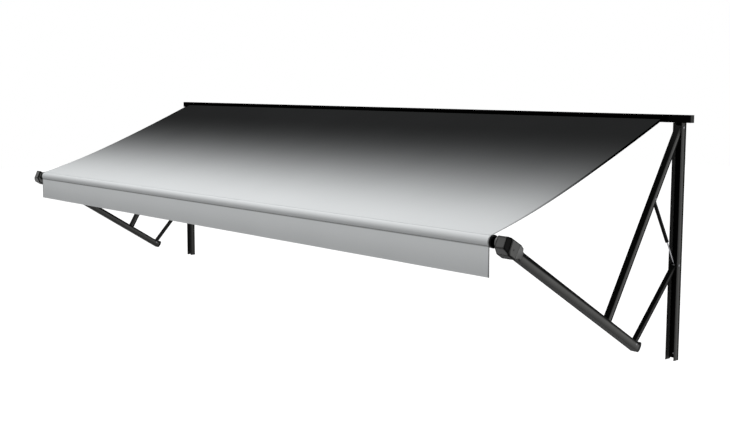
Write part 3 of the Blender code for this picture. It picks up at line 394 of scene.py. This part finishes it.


# Coated cloth. Its display tone runs from one level to another as a smooth step along the cloth,
# less a dark binding at both side edges. The canopy has a black binding along the rail too, and
# the valance a painted shade along its top, where it leaves the roller. The tone to the display
# power is the linear colour.
def clothMaterial(name, levels, places, binding="bindingDark", shadedCrease=False, topBand=0.0):
    material, w, shader = startMaterial(name)
    look = clothLook
    uv = w.add("ShaderNodeUVMap", uv_map="cloth").outputs[0]
    weave = w.effect("weave", {"Place": uv, "Pitch": look["threadPitch"]})
    across, along = w.parts(uv)[:2]
    tone = w.smooth(along, *places, *levels)
    rest = w.calc("SUBTRACT", 1.0, tone)

    narrow = look["bindingWidth"]
    wide = w.calc("MULTIPLY", rest, look["bindingWide"] - narrow)
    inner = w.calc("SUBTRACT", fabricWidth / 2 - narrow, wide)
    past = w.calc("SUBTRACT", w.calc("ABSOLUTE", across), inner)
    edge = w.smooth(past, 0.0, look["bindingSoft"] * narrow)
    loss = w.scaled(tone, look[binding], w.calc("MULTIPLY", rest, look["bindingBlack"]))
    tone = w.calc("SUBTRACT", tone, w.calc("MULTIPLY", edge, loss))
    if topBand:
        band = w.smooth(along, topBand, look["topBandSoft"] * topBand, look["topBandShare"])
        tone = w.calc("MULTIPLY", tone, band)
    # Painted shade along the valance's top, where it leaves the roller.
    if shadedCrease:
        creaseShadow = w.smooth(along, 0.0, look["creaseShadeWidth"], look["creaseShadeDepth"], 0.0)
        tone = w.calc("SUBTRACT", tone, creaseShadow)

    uneven = w.scaled(weave["Tone"], look["unevenness"], -look["unevenness"] / 2)
    shown = w.calc("MAXIMUM", w.calc("ADD", tone, uneven), look["leastTone"])
    linear = w.calc("POWER", shown, look["displayPower"])
    w.put(shader["Base Color"], w.tinted(linear, look["coolTint"]))
    w.put(shader["Roughness"], look["roughness"])
    w.put(shader["Specular IOR Level"], look["specular"])
    bumpInto(w, shader, weave["Height"], look["bump"], look["bumpDistance"])
    return material


# Canopy sheet

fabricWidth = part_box("canopy")[1].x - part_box("canopy")[0].x
rollerLow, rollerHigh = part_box("fabric_turns")
rollerAxis = ((rollerLow.y + rollerHigh.y) / 2, (rollerLow.z + rollerHigh.z) / 2)

wrapForm = {
    "radius": 0.0418,
    "lap": 0.0006,            # step where the last turn ends
    "endGap": 0.0005,         # how much shorter the roll is than the cloth at each end
    "waveHeight": 0.00015,
    "waves": 9.0,             # in radians a metre
    "waveTwist": 2.0,
    "turnSteps": 96,
    "columns": 160,
}
canopyForm = {
    "railPoint": (-0.0450, 0.0180),     # Y and Z where the cloth leaves the groove
    "foldedPoint": (-0.1174, -0.1100),  # where its roller end lies when the arms are folded
    "rollGap": 0.0008,                  # how far it stays off the roll at its end
    "sag": 0.030,
    "edgeDroop": 0.014,
    "droopShare": 0.03,                 # share of the width beside each edge that droops
    "rippleHeight": 0.0010,
    "ripples": (5.3, 11.7),             # coarse and fine waves across the width
    "rippleSlant": 0.12,
    "fineShare": 0.6,
    "fineStart": 1.1,
    "steps": (260, 90),
}


# Point of a circle where a line that ends at a given lean touches its upper side.
def tangentPoint(start, axis, radius, lean):
    slope = math.atan2(start[1] - axis[1] - radius, start[0] - axis[0]) - lean
    return (axis[0] - radius * math.sin(slope), axis[1] + radius * math.cos(slope))


spanToRoller = math.dist(canopyForm["railPoint"], rollerAxis)
canopyEnd = tangentPoint(canopyForm["railPoint"], rollerAxis,
                         wrapForm["radius"] + canopyForm["rollGap"],
                         math.atan(4 * canopyForm["sag"] / spanToRoller))
canopyForm["length"] = math.dist(canopyForm["railPoint"], canopyEnd)


# Straight line from rail to roller, less a parabola of sag; the last part beside each side edge
# hangs lower, most at seven tenths of the way, and shallow waves run from rail to roller and die
# at both ends.
def canopySurface(u, v):
    start, end = np.array(canopyForm["railPoint"]), np.array(canopyEnd)
    coarse, fine = (2 * math.pi * count for count in canopyForm["ripples"])
    slant = 2 * math.pi * canopyForm["rippleSlant"]
    share = canopyForm["droopShare"]
    x = (u - 0.5) * fabricWidth
    hang = 4 * canopyForm["sag"] * v * (1 - v)
    edge = np.clip((np.abs(u - 0.5) - 0.5 + share) / share, 0, 1) ** 2
    ripple = (np.sin(coarse * u + slant * v)
              + canopyForm["fineShare"] * np.sin(fine * u + canopyForm["fineStart"]))
    droop = canopyForm["edgeDroop"] * edge * np.sin(math.pi * v**2)
    lift = canopyForm["rippleHeight"] * ripple * np.sin(math.pi * v) - droop
    y = start[0] + (end[0] - start[0]) * v
    z = start[1] + (end[1] - start[1]) * v - hang + lift
    return np.stack([x, y, z], axis=-1)


def buildCanopy(material):
    u, v = shareGrid(*canopyForm["steps"])
    points, uv = canopySurface(u, v), flatPlace(u, v, canopyForm["length"])
    sheet = gridMesh("canopySheet", points[:, ::-1], uv=uv[:, ::-1])
    finish(sheet, material, "root")
    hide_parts("canopy")
    return sheet


# The hem is raised in full from a quarter of its width on, and by the least share at its inner edge
hemForm = {"width": 0.034, "raise": 0.0010, "leastShare": 0.15, "slope": 4, "steps": (7, 90)}


# Folded hem along one side: a strip of the canopy's own surface, a cloth's thickness higher.
def buildSideHem(side, material):
    inner = 0.5 + side * (0.5 - hemForm["width"] / fabricWidth)
    outer = 0.5 + side * 0.5
    u, v = shareGrid(*hemForm["steps"], across=(inner, outer))
    points, uv = canopySurface(u, v), flatPlace(u, v, canopyForm["length"])
    across = (u - inner) / (outer - inner)
    lift = np.clip(hemForm["slope"] * across, hemForm["leastShare"], 1)
    points[..., 2] += hemForm["raise"] * lift
    if side > 0:
        points, uv = points[:, ::-1], uv[:, ::-1]
    name = "rightSideHem" if side > 0 else "leftSideHem"
    return finish(gridMesh(name, points, uv=uv), material, "root")


canopyMaterial = clothMaterial(
    "fadingCloth", (clothLook["darkLevel"], clothLook["paleLevel"]),
    [clothLook[end] * canopyForm["length"] for end in ("fadeStart", "fadeEnd")],
    binding="canopyBinding", topBand=clothLook["topBand"])
rollMaterial = clothMaterial("rollCloth", [clothLook["rollLevel"]] * 2, (0.0, 1.0))
canopySheet = buildCanopy(canopyMaterial)
sideHems = [buildSideHem(side, canopyMaterial) for side in (-1, 1)]
for piece in [canopySheet, *sideHems]:
    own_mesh(piece)


# Cloth wound on the roller

# Roll of cloth: the radius grows by one lap over a turn, so the last turn ends in a step, and a
# shallow wave runs along the roll.
def buildWrap(material):
    half = fabricWidth / 2 - wrapForm["endGap"]
    x = np.linspace(-half, half, wrapForm["columns"])
    turn = np.linspace(0, 2 * math.pi, wrapForm["turnSteps"], endpoint=False)
    turnGrid, xGrid = np.meshgrid(turn, x, indexing="xy")
    radius = wrapForm["radius"] - wrapForm["lap"] * (1 - turnGrid / (2 * math.pi))
    wave = np.sin(xGrid * wrapForm["waves"] + wrapForm["waveTwist"] * np.sin(turnGrid))
    radius = radius + wrapForm["waveHeight"] * wave
    points = np.stack([xGrid, rollerAxis[0] + radius * np.cos(turnGrid),
                       rollerAxis[1] + radius * np.sin(turnGrid)], axis=-1)
    mesh = gridMesh("rollerCloth", points[:, ::-1], closeAcross=True,
                    uv=np.stack([xGrid, turnGrid * wrapForm["radius"]], axis=-1)[:, ::-1])
    finish(mesh, material, "roller_body")
    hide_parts("fabric_turns")


# Valance

valanceLow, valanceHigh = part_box("valance")
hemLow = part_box("valance_hem_bar")[0]
valanceForm = {
    "wave": 0.0012,
    "waves": (7.3, 15.1),     # coarse and fine waves across the width, and where each starts
    "starts": (0.4, 2.0),
    "fineShare": 0.5,
    "steps": (240, 28),
    "hemHeight": 0.022,
    "hemRaise": 0.0008,
    "hemRows": 6,
}


# Flat hanging cloth with shallow waves across its width that grow towards the hem.
def valanceSurface(u, v):
    coarse, fine = (np.sin(2 * math.pi * u * count + start)
                    for count, start in zip(valanceForm["waves"], valanceForm["starts"]))
    wave = coarse + valanceForm["fineShare"] * fine
    x = (u - 0.5) * fabricWidth
    y = (valanceLow.y + valanceHigh.y) / 2 + valanceForm["wave"] * wave * v**2
    z = valanceHigh.z + (hemLow.z - valanceHigh.z) * v
    return np.stack([x, y, z], axis=-1)


def buildValance(material, drop):
    columns, rows = valanceForm["steps"]
    u, v = shareGrid(columns, rows)
    sheet = gridMesh("valanceSheet", valanceSurface(u, v), uv=flatPlace(u, v, drop))
    finish(sheet, material, "valance_body")
    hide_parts("valance", "valance_hem_bar")
    u, v = shareGrid(columns, valanceForm["hemRows"], down=(1 - valanceForm["hemHeight"] / drop, 1))
    front = valanceSurface(u, v)
    front[..., 1] -= valanceForm["hemRaise"]
    hem = gridMesh("valanceHem", front, uv=flatPlace(u, v, drop))
    finish(hem, material, "valance_body")


buildWrap(rollMaterial)
valanceDrop = valanceHigh.z - hemLow.z
buildValance(clothMaterial("valanceCloth", (clothLook["valanceTop"], clothLook["valanceBottom"]),
                           (0.0, valanceDrop), shadedCrease=True), valanceDrop)
print("awning: roller cloth and valance made")


# Finishes of the hard pieces

# A coat's look: linear level of webs in painted shade and of side faces in painted light, worn
# edge, roughness, grain, bump, amount of wear and specular level, then what only some pieces have,
# among them painted shade on flat faces, on faces that lean halfway and along rims, and a painted
# highlight stripe by the hub.
def coatLook(web, side, worn, roughness, grain, bump, wear, specular, webGloss=0.25, flat=0.0,
             way=(0, 0, 1), cornerShade=0.0, hub=0.0, highlightCollar=0.0, borderShade=0.0, borderShadeWidth=0.009):
    return {"web": web, "side": side, "worn": worn, "roughness": roughness, "grain": grain,
            "bump": bump, "wear": wear, "specular": specular, "webGloss": webGloss,
            "flat": flat, "way": way, "cornerShade": cornerShade, "hub": hub, "highlightCollar": highlightCollar,
            "borderShade": borderShade, "borderShadeWidth": borderShadeWidth}


# Middle of a rolled section and its way towards the wall, so that its two edges lie at -1 and 1:
# the way is the short axis of the points, seen along X.
def rolledFrame(node):
    mesh = nodes[node].data
    points = np.empty(len(mesh.vertices) * 3)
    mesh.vertices.foreach_get("co", points)
    points = points.reshape(-1, 3)[:, 1:]
    way = np.linalg.svd(points - points.mean(axis=0), full_matrices=False)[2][1]
    way = way * np.sign(way[0])
    reach = points @ way
    half = (reach.max() - reach.min()) / 2
    middle = way * (reach.max() + reach.min()) / 2
    return (0.0, *map(float, middle)), (0.0, *map(float, way / half))


# The boss of each head is black up to a painted highlight stripe, which ends a little inside the
# arms
headForm = {"highlightCollar": 0.020, "insideArm": 0.0025}
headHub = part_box("right_outer_arm")[0].x - headForm["insideArm"] - headForm["highlightCollar"]
armAcross = Vector(rolledFrame("right_outer_arm")[1]).normalized()
# In each coat the side level over the web level is painted light; head_paint also has painted shade
# and a painted highlight stripe.
coatLooks = {
    "rail_paint": coatLook(0.002, 0.010, 0.012, 0.50, 700, 0.12, 0.30, 0.0, webGloss=1.0),
    "bracket_paint": coatLook(0.003, 0.060, 0.045, 0.40, 700, 0.12, 0.15, 0.08),
    "arm_paint": coatLook(0.003, 0.100, 0.040, 0.40, 700, 0.12, 0.15, 0.08),
    "head_paint": coatLook(0.050, 0.066, 0.110, 0.42, 500, 0.20, 0.30, 0.35, webGloss=1.0,
                           flat=0.90, way=armAcross, cornerShade=0.85, hub=headHub,
                           highlightCollar=headForm["highlightCollar"], borderShade=0.85, borderShadeWidth=0.020),
    "head_plastic": coatLook(0.055, 0.066, 0.090, 0.48, 900, 0.30, 0.30, 0.35, webGloss=1.0),
    "strut_paint": coatLook(0.004, 0.006, 0.030, 0.30, 300, 0.05, 0.20, 0.12),
    "black_plastic": coatLook(0.006, 0.012, 0.040, 0.48, 900, 0.30, 0.25, 0.12),
    "dark_fabric": coatLook(0.016, 0.016, 0.030, 0.75, 1400, 0.60, 0.00, 0.20),
}
metalLooks = {
    "zinc_steel": {"colour": 0.22, "roughness": 0.40, "stretch": (300, 300, 300)},
    "plain_steel": {"colour": 0.42, "roughness": 0.32, "stretch": (900, 60, 60)},
    "bright_rod": {"colour": 0.34, "roughness": 0.22, "stretch": (60, 60, 900)},
    "mill_aluminium": {"colour": 0.60, "roughness": 0.40, "stretch": (12, 600, 600)},
}
# Linear level of each rolled section's side faces where its band of light is brightest
rolledSides = {"wall_bracket": 0.070, "long_arm": 0.095, "outer_arm": 0.105, "short_arm": 0.030}

slotOf = {row["node"]: row["material_slot"] for row in frame["record"]["subparts"]}
finishes = {slot: coated(slot, look) for slot, look in coatLooks.items()}
finishes.update({slot: bareMetal(slot, **look) for slot, look in metalLooks.items()})
rolledFinishes = {}
for kind, level in rolledSides.items():
    look = dict(coatLooks[slotOf["right_" + kind]], side=level)
    rolledFinishes[kind] = coated("rolled_" + kind, look, rolledFrame("right_" + kind))
for name, piece in nodes.items():
    chosen = rolledFinishes.get(name.split("_", 1)[-1], finishes.get(slotOf[name]))
    if chosen is not None:
        piece.data.materials.clear()
        piece.data.materials.append(chosen)
print("awning: finishes set on the hard pieces")


# Stage, light and camera

stageForm = {
    "floorHeight": -2.75,
    "floorHalf": 30.0,
    "floorColour": 0.30,
    "floorRoughness": 0.9,
    "floorGlow": 0.86,        # what the rays that see the background find on the floor
    "world": 0.62,            # share of the white background that lights the awning
}
lampForms = {
    "overheadSoftbox": {"place": (0, -2.5, 5.5), "aim": (0, -1, -0.5), "size": (9.0, 4.0),
                        "power": 300.0},
    "sideSoftbox": {"place": (9.0, 3.5, 1.0), "aim": (3.3, -0.8, -0.9), "size": (3.0, 4.0),
                    "power": 110.0},
}
cameraForm = {"place": (8.0304, -7.0341, 0.2376), "turn": 49.4529, "down": 6.4444,
              "roll": 0.1795, "lens": 55.13, "sensor": 36.0}


# 1 for the rays by which the camera, a mirror or glass sees the background, else 0.
def seenRays(w):
    path = w.add("ShaderNodeLightPath").outputs
    direct = w.calc("MAXIMUM", path["Is Camera Ray"], path["Is Glossy Ray"])
    return w.calc("MAXIMUM", direct, path["Is Transmission Ray"])


def buildStage():
    half, height = stageForm["floorHalf"], stageForm["floorHeight"]
    corners = np.array([[[-half, -half, height], [half, -half, height]],
                        [[-half, half, height], [half, half, height]]], float)
    floor = gridMesh("floor", corners)
    material, w, shader = startMaterial("paleFloor")
    w.put(shader["Base Color"], (*[stageForm["floorColour"]] * 3, 1))
    w.put(shader["Roughness"], stageForm["floorRoughness"])
    w.put(shader["Emission Color"], (1, 1, 1, 1))
    w.put(shader["Emission Strength"], w.calc("MULTIPLY", seenRays(w), stageForm["floorGlow"]))
    floor.data.materials.append(material)
    world = bpy.data.worlds.new("studio")
    world.use_nodes = True
    bpy.context.scene.world = world
    w = Wiring(world.node_tree)
    back = world.node_tree.nodes["Background"].inputs
    w.put(back["Color"], (1, 1, 1, 1))
    w.put(back["Strength"], w.scaled(seenRays(w), 1.0 - stageForm["world"], stageForm["world"]))


def areaLight(name, place, aim, size, power):
    lamp = bpy.data.lights.new(name, "AREA")
    lamp.shape = "RECTANGLE"
    lamp.size, lamp.size_y = size
    lamp.energy = power
    item = bpy.data.objects.new(name, lamp)
    bpy.context.scene.collection.objects.link(item)
    item.location = place
    away = Vector(place) - Vector(aim)
    item.rotation_euler = away.to_track_quat("Z", "Y").to_euler()


buildStage()
for name, form in lampForms.items():
    areaLight(name, **form)

camera = bpy.data.cameras.new("camera")
camera.lens = cameraForm["lens"]
camera.sensor_width = cameraForm["sensor"]
view = bpy.data.objects.new("camera", camera)
bpy.context.scene.collection.objects.link(view)
view.matrix_world = (Matrix.Translation(cameraForm["place"])
                     @ Matrix.Rotation(math.radians(cameraForm["turn"]), 4, "Z")
                     @ Matrix.Rotation(math.radians(90 - cameraForm["down"]), 4, "X")
                     @ Matrix.Rotation(math.radians(cameraForm["roll"]), 4, "Z"))
bpy.context.scene.camera = view
bpy.context.scene.view_settings.view_transform = "Standard"
print("awning: stage, lights and camera ready")
